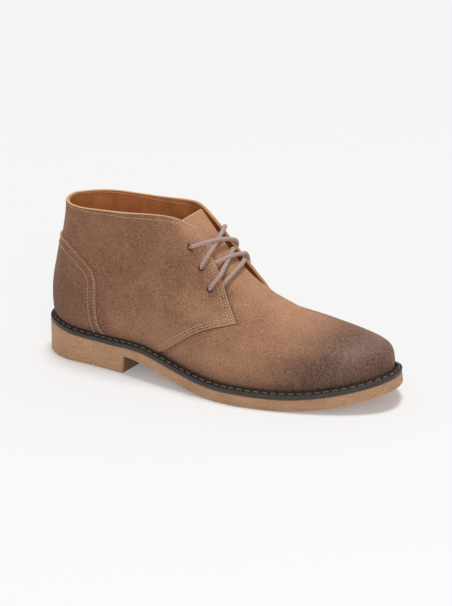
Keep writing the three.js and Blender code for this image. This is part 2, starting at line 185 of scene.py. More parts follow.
def lastPoint(turn, v, margin=0):
    # each level is a foot outline: s runs from back to front by the cosine of turn, and the half widths
    # are the heel's, blended to the ball's, times a round end at the heel and a longer one at the toe
    turn, v = np.broadcast_arrays(np.asarray(turn, float), np.clip(v, 0, 1))
    past = np.abs(turn) > 180
    outer = (turn < 0) != past
    spread = np.where(past, 360 - np.abs(turn), np.abs(turn))
    backAt, backZ, frontAt, frontZ, heel, wide, inside, wideReach, insideReach, swing = (
        along(levelRows, i, v) for i in range(1, 11))
    s = (1 - np.cos(np.radians(spread))) / 2
    back, front, heel = backAt - margin, frontAt + margin, heel + margin
    at = back + s * (front - back)
    swing = swing * ease((at - last["swingFrom"]) / np.maximum(front - last["swingFrom"], 26))
    heelEnd = roundEnd((at - back) / (heel * last["heelRound"]), 0)
    grow = lerp(heel, wide + margin, ease((at - last["heelAt"]) / (last["ballOuterAt"] - last["heelAt"])))
    outerHalf = grow * heelEnd * roundEnd((front - at) / (wideReach + margin), last["toeFull"])
    waist = last["waistIn"] * np.exp(-((at - last["waistAt"]) / last["waistLong"]) ** 2)
    waist = waist * np.clip(1 - v / .45, 0, 1)
    grow = lerp(heel, inside + margin, ease((at - last["heelAt"]) / (last["ballInnerAt"] - last["heelAt"])))
    innerHalf = (grow - waist) * heelEnd * roundEnd((front - at) / (insideReach + margin), last["toeFull"])
    y = np.where(outer, swing - outerHalf, swing + innerHalf)
    foot = lerp(levelRows[0, 2], levelRows[0, 4], s)
    z = lerp(backZ, frontZ, s) + (featherZ(at) - foot) * np.clip(1 - v / .5, 0, 1) ** 2
    return np.stack([at - last["originAt"], y, z], -1)


def slopesAt(turn, v):  # how the surface runs on for a degree of turn, and for a whole level
    return (lastPoint(turn + .8, v) - lastPoint(turn - .8, v)) / 1.6, (
        lastPoint(turn, v + .006) - lastPoint(turn, v - .006)) / .012


# soft folds, listed one by one: (turn, level) at both ends, depth and half width in mm
folds = [
    ((58, .66), (108, .46), -.75, 8), ((70, .56), (112, .37), .45, 8), ((84, .76), (117, .55), -.5, 7),
    ((-62, .64), (-110, .45), -.7, 9), ((-74, .54), (-113, .36), .4, 8), ((-88, .78), (-118, .57), -.5, 7),
    ((122, .38), (158, .5), -.4, 8), ((-122, .37), (-158, .5), -.45, 8),
    ((18, .8), (64, .74), -.4, 6), ((-20, .8), (-66, .73), -.4, 6),
    ((-100, .16), (-128, .26), -.4, 9), ((96, .14), (122, .24), -.5, 9),
]


def worn(turn, v, off):
    # the last's surface, or a distance outside it, with the folds and a faint hand-made ripple
    turn, v = np.broadcast_arrays(np.asarray(turn, float), np.asarray(v, float))
    p = lastPoint(turn, v)
    across, up = slopesAt(turn, v)
    normal = unit(np.cross(up, across))
    lift = .13 * np.sin(p[..., 0] / 7.3 + p[..., 2] / 11) * np.sin(p[..., 2] / 8.1 - p[..., 1] / 9.7)
    lift = lift + .22 * np.sin(p[..., 0] / 19 + 1.3) * np.sin(p[..., 2] / 16 + p[..., 1] / 23)
    for start, end, deep, wide in folds:
        a, b = lastPoint(*start), lastPoint(*end)
        t = np.clip((p - a) @ (b - a) / np.dot(b - a, b - a), 0, 1)
        far = np.linalg.norm(p - a - t[..., None] * (b - a), axis=-1)
        lift = lift + deep * np.exp(-(far / wide) ** 2) * np.sin(pi * (.06 + .88 * t))
    return p + normal * (lift * ease(v / .12) + off)[..., None]


def proud(turn, v):
    # the inner facing stands away from the tongue, by 4 mm low down and 1.4 mm at the top
    gap = lerp(4, 1.4, ease((v - .6) / .3))
    return gap * ease((turn - 98) / 34) * ease((v - .36) / .16) * (np.asarray(turn) > 0)


def beside(turn, v, distance):
    # moves a line on the surface sideways by a distance: the step square to it, solved in turn and level
    across, up = slopesAt(turn, v)
    p = lastPoint(turn, v)
    way = unit(np.gradient(p, axis=0))
    side = unit(np.cross(unit(np.cross(up, across)), way))
    aa, au, uu = (across * across).sum(-1), (across * up).sum(-1), (up * up).sum(-1)
    sa, su = (side * across).sum(-1), (side * up).sum(-1)
    flat = aa * uu - au * au
    return turn + distance * (sa * uu - su * au) / flat, v + distance * (su * aa - sa * au) / flat


def lengthsAlong(path):
    return np.concatenate([[0], np.cumsum(np.linalg.norm(np.diff(path, axis=0), axis=1))])


def pickedAt(here, far, path):  # the points of a path at given lengths
    return np.stack([np.interp(here, far, path[:, i]) for i in range(3)], -1)


# mesh helpers
def gridFaces(rows, cols, first=0):
    i, j = np.arange(rows - 1)[:, None], np.arange(cols - 1)[None, :]
    a = i * cols + j + first
    return np.stack([a, a + 1, a + cols + 1, a + cols], -1).reshape(-1, 4)


def addPiece(name, points, faces, material, replaced=(), marks=None, sharp=None):
    # marks are named numbers, one per point; doubles are merged and faces turned outwards
    mesh = bpy.data.meshes.new(name)
    mesh.from_pydata((points.reshape(-1, 3) * .001).tolist(), [], faces.tolist())
    for key, values in (marks or {}).items():
        mark = mesh.attributes.new(key, "FLOAT", "POINT")
        mark.data.foreach_set("value", values.ravel().astype(np.float32))
    work = bmesh.new()
    work.from_mesh(mesh)
    bmesh.ops.remove_doubles(work, verts=work.verts, dist=2e-6)
    bmesh.ops.dissolve_degenerate(work, edges=work.edges, dist=1e-7)
    bmesh.ops.recalc_face_normals(work, faces=work.faces)
    work.to_mesh(mesh)
    work.free()
    mesh.polygons.foreach_set("use_smooth", np.ones(len(mesh.polygons), bool))
    if sharp:
        mesh.set_sharp_from_angle(angle=radians(sharp))
    mesh.materials.append(material)
    piece = bpy.data.objects.new(name, mesh)
    bpy.context.scene.collection.objects.link(piece)
    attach(piece, "root")
    if replaced:
        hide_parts(*replaced)
    return piece


def cutAway(cutter, pieces):
    # takes the cutter mesh out of every piece, and leaves no modifier behind
    tool = bpy.data.objects.new("cutter", cutter)
    bpy.context.scene.collection.objects.link(tool)
    for piece in pieces:
        cut = piece.modifiers.new("cut", "BOOLEAN")
        cut.operation, cut.solver, cut.object = "DIFFERENCE", "EXACT", tool
        bpy.context.view_layer.update()
        whole = piece.evaluated_get(bpy.context.evaluated_depsgraph_get())
        piece.data = bpy.data.meshes.new_from_object(whole)
        piece.modifiers.clear()
    bpy.data.objects.remove(tool)


edgeRound = dict(radius=.65, steps=(0, .08, .22, .42, .65, 1.1))  # mm from a sheet's edge


def shares(t, length):
    # 0 at an edge and 1 inside it, as a quarter circle, so that a sheet's edges come out round
    far = np.minimum(t, 1 - t) * length
    return np.sqrt(1 - (1 - np.clip(far / edgeRound["radius"], 0, 1)) ** 2)


def spaced(count, length):  # parameters from 0 to 1 with close ones near both ends, for the round edges
    near = np.array(edgeRound["steps"]) / length
    return np.concatenate([near[:-1], np.linspace(near[-1], 1 - near[-1], count), 1 - near[:-1][::-1]])


def leatherSheet(name, place, size, middle, thick, material, replaced=(), shade=None, bare=1):
    # a closed sheet of leather: place(u, t, off) gives its points for u across and t up, both 0 to 1,
    # and the two faces are half a thickness either side of the middle, coming together at the edges
    u, t = np.meshgrid(spaced(size["columns"], size["length"]), spaced(size["rows"], size["height"]))
    share = np.minimum(shares(u, size["length"]), shares(t, size["height"]))
    points = np.concatenate([place(u, t, middle + side * thick / 2 * share) for side in (1, -1)])
    faces = np.concatenate([gridFaces(*u.shape), gridFaces(*u.shape, u.size)[:, ::-1]])
    marks = {"rawEdge": bare * np.clip((.97 - share) / .25, 0, 1) * (t > .02)}
    if shade:
        marks.update(zip(("burnishAndShade", "freshAndLit", "rubbed"), shade(u, t)))
    marks = {key: np.concatenate([values, values]) for key, values in marks.items()}
    return addPiece(name, points, faces, material, replaced, marks)


# materials
def addNode(tree, kind, inputs, output=0, **settings):
    # adds a node and gives one of its outputs; an input is a value, a colour code or another output.
    # A Mix node takes its share at 0 and its colours at 6 and 7, and gives the colour at 2
    node = tree.nodes.new("ShaderNode" + kind)
    for key, value in settings.items():
        setattr(node, key, value)
    for key, source in inputs.items():
        if isinstance(source, bpy.types.NodeSocket):
            tree.links.new(source, node.inputs[key])
        else:
            node.inputs[key].default_value = linear(source) if isinstance(source, str) else source
    return node.outputs[output]


def newMaterial(name, shader):
    # the shader with its fixed values, and the place on the piece in mm for the patterns
    material = bpy.data.materials.new(name)
    material.use_nodes = True
    tree = material.node_tree
    for key, value in shader.items():
        tree.nodes["Principled BSDF"].inputs[key].default_value = value
    spot = addNode(tree, "TexCoord", {}, "Object")
    return material, tree, addNode(tree, "Mapping", {"Vector": spot, "Scale": (1000, 1000, 1000)})


noiseInputs = ("Vector", "Scale", "Detail", "Roughness")  # the scale is one over a patch's size in mm


def toned(tree, *layers):
    # adds up patterns, each taken from one range to another: (pattern, from low, from high, to low, to high)
    tone = None
    for pattern, *span in layers:
        values = dict(zip(("From Min", "From Max", "To Min", "To Max"), span))
        lift = addNode(tree, "MapRange", {"Value": pattern, **values})
        tone = addNode(tree, "Math", {0: tone, 1: lift}) if tone else lift
    return tone


def joined(material, heights, links):
    # joins patterns to the shader, and lays heights of a depth in mm over one another as bumps
    tree = material.node_tree
    bump = {}
    for height, depth in heights:
        bump["Normal"] = addNode(tree, "Bump", {
            "Height": height, "Strength": 1, "Distance": depth * .001, **bump})
    for key, source in {**links, **bump}.items():
        tree.links.new(source, tree.nodes["Principled BSDF"].inputs[key])
    return material


suede = dict(
    light="#c89776", dark="#6b4837", burnishAndShade="#402922", scuff="#967566", rubbed="#a88c83", pale="#e4ba97",
    fibre=.75, nap=3.0, cloud=22)


def brushedSuede():
    # split cowhide, sanded to a nap and burnished by hand: matt, soft at grazing light, mottled where the
    # nap lies two ways; fibres are really about .1 mm, drawn at .75 mm so that they show
    material, tree, place = newMaterial("brushedSuede", {
        "Roughness": .95, "IOR": 1.45, "Specular IOR Level": .18, "Sheen Weight": .28, "Sheen Roughness": .45,
        "Sheen Tint": linear("#e8c8ae")})
    fibre, nap, cloud = (addNode(tree, "TexNoise", dict(zip(noiseInputs, row))) for row in (
        (place, 1 / suede["fibre"], 4, .65), (place, 1 / suede["nap"], 4, .6),
        (place, 1 / suede["cloud"], 3, .55)))
    burnishAndShade, freshAndLit, rubbed, raw = (
        addNode(tree, "Attribute", {}, "Fac", attribute_name=name)
        for name in ("burnishAndShade", "freshAndLit", "rubbed", "rawEdge"))
    tone = toned(
        tree, (fibre, .36, .64, -.34, .34), (nap, .32, .68, -.05, .05), (cloud, .34, .66, -.085, .085))
    tone = addNode(tree, "Math", {0: tone, 1: freshAndLit})  # fresh nap is less darkened, and painted light pales it at the sides, over the instep and low down
    colour = addNode(tree, "Mix", {0: tone, 6: suede["dark"], 7: suede["light"]}, 2, data_type="RGBA")
    share = toned(tree, (fibre, .4, .68))
    worked = addNode(tree, "Mix", {0: share, 6: suede["burnishAndShade"], 7: suede["scuff"]}, 2, data_type="RGBA")
    patchy, tufted = toned(tree, (nap, .3, .7, .8, 1.15)), toned(tree, (fibre, .38, .58, .25, 1))
    # darkened towards the burnish colour by burnishing, with painted shade at the heel and under the
    # quarters' edge
    uneven = addNode(tree, "Math", {0: burnishAndShade, 1: patchy}, operation="MULTIPLY")
    lifted = addNode(tree, "Math", {0: rubbed, 1: tufted}, operation="MULTIPLY")
    for share, over in ((uneven, worked), (lifted, suede["rubbed"]), (raw, suede["pale"])):
        colour = addNode(tree, "Mix", {0: share, 6: colour, 7: over}, 2, data_type="RGBA")
    return joined(material, [(nap, .25), (fibre, .3)], {"Base Color": colour})


lining = dict(
    light="#e59b60", dark="#c07d49", sockLight="#c08a58", sockDark="#a5744a", pale="#e2b27c",
    pore=.6, crease=5, cloud=14)


def calfLining(name, light, dark):
    # smooth vegetable-tanned calf: close grain with fine pores, a low sheen where feet have not yet
    # polished it
    material, tree, place = newMaterial(name, {"Roughness": .58, "IOR": 1.5, "Specular IOR Level": .35})
    pore = addNode(tree, "TexVoronoi", {"Vector": place, "Scale": 1 / lining["pore"]}, "Distance")
    crease, cloud = (addNode(tree, "TexNoise", dict(zip(noiseInputs, row))) for row in (
        (place, 1 / lining["crease"], 2, .55), (place, 1 / lining["cloud"], 5, .55)))
    raw = addNode(tree, "Attribute", {}, "Fac", attribute_name="rawEdge")
    colour = addNode(tree, "Mix", {0: toned(tree, (cloud, .3, .7)), 6: dark, 7: light}, 2, data_type="RGBA")
    colour = addNode(tree, "Mix", {0: raw, 6: colour, 7: lining["pale"]}, 2, data_type="RGBA")
    rough = toned(tree, (cloud, .3, .7, .5, .66))
    return joined(material, [(crease, .12), (pore, .05)], {"Base Color": colour, "Roughness": rough})


# the darkest colour serves for painted shade under the arch and the darkening along the forepart walls
gum = dict(light="#d8a882", dark="#966f52", soleShade="#5d4433", speck=1.2, cloud=18, grainLong=15, grainHigh=.95)


def gumRubber():
    # moulded natural rubber, buffed: warm tan, satin, with fine level drag lines from the buffing wheel
    material, tree, place = newMaterial("gumRubber", {
        "Roughness": .62, "IOR": 1.52, "Specular IOR Level": .35})
    scale = (1 / gum["grainLong"], 1 / gum["grainLong"], 1 / gum["grainHigh"])
    stretch = addNode(tree, "Mapping", {"Vector": place, "Scale": scale})
    grain, speck, cloud = (addNode(tree, "TexNoise", dict(zip(noiseInputs, row))) for row in (
        (stretch, 1, 4, .6), (place, 1 / gum["speck"], 3, .6), (place, 1 / gum["cloud"], 3, .55)))
    soleShade = addNode(tree, "Attribute", {}, "Fac", attribute_name="soleShade")
    tone = toned(tree, (grain, .36, .64, .06, .32), (speck, .36, .64, -.04, .42), (cloud, .3, .7, 0, .25))
    colour = addNode(tree, "Mix", {0: tone, 6: gum["dark"], 7: gum["light"]}, 2, data_type="RGBA")
    # darker by the mark: painted shade on the breast of the heel and under the arch, a little along the
    # forepart walls
    colour = addNode(tree, "Mix", {0: soleShade, 6: colour, 7: gum["soleShade"]}, 2, data_type="RGBA")
    rough = toned(tree, (speck, .3, .7, .55, .72))
    return joined(material, [(grain, .16), (speck, .06)], {"Base Color": colour, "Roughness": rough})


blacking = dict(light="#433f3b", dark="#2b2826", channel="#1b1918", bloom=1.1)


def blackedRubber():
    # carbon-filled rubber welt, extruded then scoured: charcoal, a dull sheen and a dusty bloom, and
    # clean black further in, round the stitches
    material, tree, place = newMaterial("blackedRubber", {
        "Roughness": .5, "IOR": 1.52, "Specular IOR Level": .5})
    bloom = addNode(tree, "TexNoise", dict(zip(noiseInputs, (place, 1 / blacking["bloom"], 4, .65))))
    inward = addNode(tree, "Attribute", {}, "Fac", attribute_name="inward")
    share = toned(tree, (bloom, .35, .75))
    colour = addNode(tree, "Mix", {0: share, 6: blacking["dark"], 7: blacking["light"]}, 2, data_type="RGBA")
    colour = addNode(tree, "Mix", {0: inward, 6: colour, 7: blacking["channel"]}, 2, data_type="RGBA")
    rough = toned(tree, (bloom, .3, .7, .42, .6))
    return joined(material, [(bloom, .06)], {"Base Color": colour, "Roughness": rough})


waxed = dict(seamLight="#deb893", seamDark="#b08b69", weltLight="#93705a", weltDark="#5a4434", twist=.8)


def waxedThread(name, light, dark):
    # bonded polyester thread with wax: a tight twist every .8 mm, slightly glossy
    material, tree, place = newMaterial(name, {"Roughness": .55, "IOR": 1.5, "Specular IOR Level": .4})
    twist = addNode(tree, "TexNoise", dict(zip(noiseInputs, (place, 1 / waxed["twist"], 2, .55))))
    colour = addNode(tree, "Mix", {0: toned(tree, (twist, .35, .65)), 6: dark, 7: light}, 2, data_type="RGBA")
    return joined(material, [(twist, .08)], {"Base Color": colour})


braid = dict(light="#c9ada3", dark="#86695f", fluff="#d9c2b9", fluffSize=.5, pitch=2.0, strands=4)


def braidedCotton():
    # round braided cotton lace with a light wax: plaited strands, with a painted highlight on each crown and
    # painted shade between
    material, tree, place = newMaterial("braidedCotton", {
        "Roughness": .8, "IOR": 1.5, "Specular IOR Level": .3, "Sheen Weight": .3,
        "Sheen Tint": linear("#e6d2cc")})
    plaitLight = addNode(tree, "Attribute", {}, "Fac", attribute_name="plaitLight")
    fluff = addNode(tree, "TexNoise", dict(zip(noiseInputs, (place, 1 / braid["fluffSize"], 3, .55))))
    # painted highlight on the strands' crowns and painted shade between them
    colour = addNode(tree, "Mix", {0: plaitLight, 6: braid["dark"], 7: braid["light"]}, 2, data_type="RGBA")
    share = toned(tree, (fluff, .3, .7, 0, .2))
    colour = addNode(tree, "Mix", {0: share, 6: colour, 7: braid["fluff"]}, 2, data_type="RGBA")
    return joined(material, [(fluff, .06)], {"Base Color": colour})


suedeMaterial = brushedSuede()
liningMaterial = calfLining("calfLining", lining["light"], lining["dark"])
sockMaterial = calfLining("calfSock", lining["sockLight"], lining["sockDark"])
gumMaterial = gumRubber()
weltMaterial = blackedRubber()
seamThread = waxedThread("waxedSeamThread", waxed["seamLight"], waxed["seamDark"])
weltThread = waxedThread("waxedWeltThread", waxed["weltLight"], waxed["weltDark"])
laceMaterial = braidedCotton()
print("materials made")

# upper; length and height are a sheet's rough size in mm, columns and rows its steps across and up
quarter = dict(out=1.4, thick=1.3, hem=1.3, length=330, height=150, columns=210, rows=100)
quarterLining = dict(out=.05, thick=1.0, length=330, height=150, columns=120, rows=60)
# how far each place is darkened by burnishing, and at the heel by painted shade too, where it starts in mm,
# degrees or level, and how pale the nap stays at the side, over the instep, low down and at the top, partly
# as painted light
finish = dict(
    toe=.97, toeFrom=221, toeRun=62, toeLow=26, foot=.5, footHigh=.15, heel=.94, heelTurn=74, heelHigh=.825,
    freshAndLit=.32, side=.16, instep=.3, low=.2, top=.14)


def hem(points, v):  # the foot of a sheet runs on down behind the welt
    points[..., 2] -= quarter["hem"] * np.clip(1 - v / .03, 0, 1)
    return points


def quarterAt(p, q):
    # p runs from -1 at one front edge round the back to 1 at the other, q from the foot to the collar
    lower = innerLower * ease(p / .15) * ease((1 - p) / .3)
    rim = lerp(topV, along(collarRows, 1, np.abs(p)) - lower, ease((q - .7) / .3))
    return p * edgeAt(q), rim * q


def quarterPlace(u, t, off):
    turn, v = quarterAt(2 * u - 1, t)
    seam = .45 * np.exp(-(turn / .55) ** 2) * ease((v - .6) / .1)  # the back seam is drawn in
    flare = .27 * ease((v - .86) / .12)  # and the collar rolls out a little
    return hem(worn(turn, v, off + proud(turn, v) - seam + flare), v)


def finishAt(turn, v):
    # burnish: darker round the toe and low along the welt, and at the heel darker by burnish and painted
    # shade
    # fresh: paler over the instep and tongue, at the sides and low down; partly fresh nap, partly painted
    # light
    at = lastPoint(turn, v)[..., 0] + last["originAt"]
    turn = np.abs(turn)
    toeFrom = finish["toeFrom"] - finish["toeLow"] * ease(1 - v / .3)
    toe = finish["toe"] * ease((at - toeFrom) / finish["toeRun"])
    foot = finish["foot"] * ease(1 - v / finish["footHigh"])
    # at the heel: burnishing together with painted shade on the back of the boot
    heel = finish["heel"] * ease(1 - turn / finish["heelTurn"]) * ease((finish["heelHigh"] - v) / .66)
    # paler at the sides, over the instep and low down: fresh nap in part and painted light in part
    freshAndLit = finish["freshAndLit"] + finish["side"] * ease((turn - 60) / 60) * ease(1.2 - v)
    freshAndLit = freshAndLit + finish["instep"] * ease((turn - 118) / 50) * ease((v + .1) / .4)
    freshAndLit = freshAndLit + finish["low"] * ease(1 - v / .5) * ease((turn - 52) / 14)
    freshAndLit = freshAndLit + finish["top"] * ease((v - .8) / .1) * ease((turn - 134) / 8)
    return 1 - (1 - toe) * (1 - foot) * (1 - heel), freshAndLit


def quarterShade(u, t):
    return finishAt(*quarterAt(2 * u - 1, t))


quartersPiece = leatherSheet(
    "quarters", quarterPlace, quarter, quarter["out"] - quarter["thick"] / 2, quarter["thick"],
    suedeMaterial, ("upper",), quarterShade)
liningPiece = leatherSheet(
    "quarter_lining", quarterPlace, quarterLining, quarterLining["out"] - quarterLining["thick"] / 2,
    quarterLining["thick"], liningMaterial)
print("quarters made")

vamp = dict(
    thick=1.3, lap=7, length=170, height=190, columns=120, rows=130,
    under=1.5, edgeUnder=3.1,  # mm that it dips under the facings, and more at its edges
    rub=.52, rubAt=285, rubLong=13, rubLevel=.24, rubHigh=.11, lapShadow=.75, lapShadowWide=1.5)
vampLining = dict(out=-1.75, thick=.8, length=170, height=190, columns=60, rows=70)
# tongue: level share, side turn on the outer and inner side
tongueRows = np.array([(0, 128, 128), (.25, 131, 147), (.5, 134, 160), (.75, 137, 164), (1, 139, 160)], float)
# its top edge, outer end first: share across, at, y, z
tongueTop = np.array([
    (-1, 124.6, -16.5, 125.3), (-.6, 126.2, -12.5, 126.6), (-.3, 127.5, -9, 127.6),
    (.1, 129.8, -2.5, 129.5), (.5, 132.1, 3.8, 131.4), (1, 134.5, 10.5, 133.2),
], float)


def vampAt(c, v):
    # c runs from -1 at the outer edge to 1 at the inner one; k is the share of the tongue's height
    lap = edgeAt(v / topV) - vamp["lap"]
    k = np.clip((v - throatV) / (topV - throatV), 0, 1)
    onTongue = np.where(c < 0, along(tongueRows, 1, k), along(tongueRows, 2, k))
    side = lerp(lap, onTongue, ease((v - .66) / .1))
    return np.where(c < 0, -1, 1) * (180 - np.abs(c) * (180 - side)), k


def vampPlace(u, t, off):
    # one sheet from the toe to the top of the tongue: it dips under the facings above the corner,
    # and its upper end is drawn to the tongue's own straight top edge
    c, v = 2 * u - 1, t * topV
    turn, k = vampAt(c, v)
    edgeUnder = vamp["edgeUnder"] * np.abs(c) ** 3
    dip = vamp["under"] * ease((v - .5) / .22) + edgeUnder * ease((v - .6) / .16)
    points = worn(turn, v, off - dip)
    topTurn, _ = vampAt(c, np.full_like(c, topV))
    start = worn(topTurn, np.full_like(c, topV), -vamp["under"] - edgeUnder)
    target = np.stack([along(tongueTop, i, c) for i in (1, 2, 3)], -1) - (last["originAt"], 0, 0)
    return hem(points + (target - start) * (k ** 1.6)[..., None], v)


def vampShade(u, t):
    # also darker close under the quarters' edge as a painted shadow, and rubbed pale at the tip
    v = t * topV
    turn, _ = vampAt(2 * u - 1, v)
    burnishAndShade, freshAndLit = finishAt(turn, v)
    clear = np.clip(np.abs(turn) - edgeAt(t), 0, 9)
    # a thin painted shadow under the quarters' edge, joined into the darkening
    dark = vamp["lapShadow"] * np.exp(-(clear / vamp["lapShadowWide"]) ** 2)
    at = lastPoint(turn, v)[..., 0] + last["originAt"]
    near = ((at - vamp["rubAt"]) / vamp["rubLong"]) ** 2 + ((v - vamp["rubLevel"]) / vamp["rubHigh"]) ** 2
    return 1 - (1 - burnishAndShade) * (1 - dark), freshAndLit, vamp["rub"] * np.exp(-near)


leatherSheet(
    "vamp_and_tongue", vampPlace, vamp, -vamp["thick"] / 2, vamp["thick"],
    suedeMaterial, ("tongue",), vampShade)
leatherSheet(
    "vamp_lining", vampPlace, vampLining, vampLining["out"], vampLining["thick"],
    liningMaterial)
print("vamp and tongue made")

# heel counter, and its front edge as level and turn
counterRows = np.array([
    (0, 55.5), (.06, 53.4), (.2, 52), (.34, 53), (.46, 54), (.53, 53), (.59, 48.5), (.64, 42), (.675, 33),
], float)
counter = dict(top=.66, thick=1.2, gap=.05, skived=.9, length=150, height=90, columns=100, rows=70)


def counterPlace(u, t, off):
    p = 2 * u - 1
    v = lerp(counter["top"], counterRows[-1, 0], p * p) * t
    thin = counter["skived"] * ease(1 - v / .07)  # where it goes down behind the welt
    return hem(worn(p * along(counterRows, 1, v), v, off - thin), v)


def counterShade(u, t):
    v = t * counter["top"]
    return finishAt((2 * u - 1) * along(counterRows, 1, v), v)


leatherSheet(
    "heel_counter_overlay", counterPlace, counter, quarter["out"] + counter["gap"] + counter["thick"] / 2,
    counter["thick"], suedeMaterial, ("heel_counter",), counterShade, .4)
print("heel counter made")

# holes punched through the facings
hole = dict(radius=2.15, reach=7, sides=28)


def punch(pieces):
    # one cutter with a drum at each eyelet, square to the leather
    n = hole["sides"]
    angle = np.linspace(0, 2 * pi, n, endpoint=False)[:, None]
    points, faces = [], []
    for turn, v in [(side * t, v) for side in (-1, 1) for t, v in eyelets]:
        low, high = worn(turn, v, -hole["reach"]), worn(turn, v, hole["reach"])
        way = unit(high - low)
        a = unit(np.cross(way, (0, 0, 1)))
        ring = hole["radius"] * (np.cos(angle) * a + np.sin(angle) * np.cross(way, a))
        bottom = [2 * n * len(points) + i for i in range(n)]
        points.append(np.concatenate([low + ring, high + ring]))
        faces += [[i, j, j + n, i + n] for i, j in zip(bottom, bottom[1:] + bottom[:1])]
        faces += [bottom[::-1], [i + n for i in bottom]]
    cutter = bpy.data.meshes.new("punch")
    cutter.from_pydata((np.concatenate(points) * .001).tolist(), [], faces)
    cutAway(cutter, pieces)


punch([quartersPiece, liningPiece])
print("holes punched")

# insole sock
sock = dict(margin=-2.4, thick=2.2, rise=3.0, rim=1.2, length=560, height=90, columns=110, rows=40)


def sockPlace(u, t, off):
    # u runs from heel to toe, w from the outer side to the inner one; it turns up a little at the rim
    w = (1 - np.cos(pi * t)) / 2
    points = lerp(lastPoint(-180 * u, 0, sock["margin"]), lastPoint(180 * u, 0, sock["margin"]), w[..., None])
    rim = sock["rim"] * np.abs(2 * w - 1) ** 4
    points[..., 2] = featherZ(points[..., 0] + last["originAt"]) + sock["rise"] + off + rim
    return points


leatherSheet(
    "sock", sockPlace, sock, -sock["thick"] / 2, sock["thick"], sockMaterial, ("insole",))
print("sock made")

# welt
welt = dict(columns=300, blackTo=6.25, blackFade=.5)
# closed section as margin, height, and 1 where the height is from the feather line or 0 from the seat:
# bottom and outer face, outer rim, channel for the stitches, lip against the upper
weltSection = np.array([
    (-4, .1, 0), (5.9, .1, 0), (6.3, .2, 0), (6.5, .55, 0), (6.55, 2, 0), (6.5, -1.1, 1),
    (6.3, -.65, 1), (5.95, -.42, 1), (5.5, -.34, 1), (5.2, -.4, 1), (5.05, -.55, 1),
    (4.95, -.7, 1), (4.7, -.85, 1), (3.9, -.85, 1), (3.55, -.75, 1), (3.42, -.2, 1), (3.35, .9, 1),
    (3.2, 1.35, 1), (2.85, 1.6, 1), (2.45, 1.55, 1), (2.2, 1.2, 1), (2.1, .5, 1), (2.0, -.9, 1), (-4, -.9, 1),
    (-4, .1, 0),
], float)


def makeWelt():
    # the section carried round the foot line: margin outwards, height up
    turn = np.linspace(-180, 180, welt["columns"])[None, :]
    margin, height, fromFeather = (weltSection[:, i:i + 1] for i in range(3))
    points = lastPoint(turn, 0, margin + 0 * turn)
    at = points[..., 0] + last["originAt"]
    points[..., 2] = np.where(fromFeather > 0, featherZ(at), seatZ(at)) + height
    marks = {"inward": ease((welt["blackTo"] - margin) / welt["blackFade"]) + 0 * turn}
    faces = gridFaces(*points.shape[:2])
    addPiece("welt_strip", points, faces, weltMaterial, ("welt",), marks, sharp=50)


makeWelt()

# sole
sole = dict(
    columns=230, across=44, treadDeep=1.0, treadPitch=8.5, plainWaistTo=172, border=6,
    toeFlare=.9, flareFrom=250, flareRun=55, archShade=.75, forepartDark=.13)
notches = dict(ats=(26, 59), wide=3.6, deep=1.7, run=11)


def turnAt(at):  # the turn whose outline point lies at this distance from the back
    grid = np.linspace(0, 180, 7201)
    return np.interp(at, lastPoint(-grid, 0, last["weltMargin"])[:, 0] + last["originAt"], grid)


def soleWall(side, turns, isHeel):
    # rows down the wall as margin, share of the height and mm above it, rounded at the bottom edge;
    # the wall flares out a little towards the bottom at the toe
    margin = last["weltMargin"]
    rows = [(margin - .5, 1, 0), (margin, 1, -.5), (margin, 1, -1.4)]
    rows += [(margin, share, 1.4 - 2.8 * share) for share in (.8, .6, .4, .2)]
    rows += [(margin, 0, 1.4), (margin - .15, 0, .7), (margin - .6, 0, .2), (margin - 1.3, 0, 0)]
    margin, share, above = (np.array(column, float)[:, None] for column in zip(*rows))
    at = lastPoint(side * turns[None, :], 0, margin + 0 * turns)[..., 0] + last["originAt"]
    flare = sole["toeFlare"] * (1 - share) * ease((at - sole["flareFrom"]) / sole["flareRun"])
    points = lastPoint(side * turns[None, :], 0, margin + flare)
    at = points[..., 0] + last["originAt"]
    points[..., 2] = lerp(np.where(isHeel, 0, groundZ(at)), seatZ(at), share) + above
    return points


def tread(at, y, border):
    # cross ribs that wave a little, with a plain border and waist
    ridge = np.abs((at / sole["treadPitch"] + .12 * np.cos(y / 9)) % 1 - .5) * 2
    clear = np.where((at > last["breastAt"]) & (at < sole["plainWaistTo"]), 0, 1)
    fromBreast = np.abs(at - last["breastAt"]) - sole["border"]
    for inside, fade in ((fromBreast, 2), (border - sole["border"], 1.5), (at - 10, 3), (300 - at, 3)):
        clear = clear * np.clip(inside / fade, 0, 1)
    return sole["treadDeep"] * ease((ridge - .62) / .2) * clear


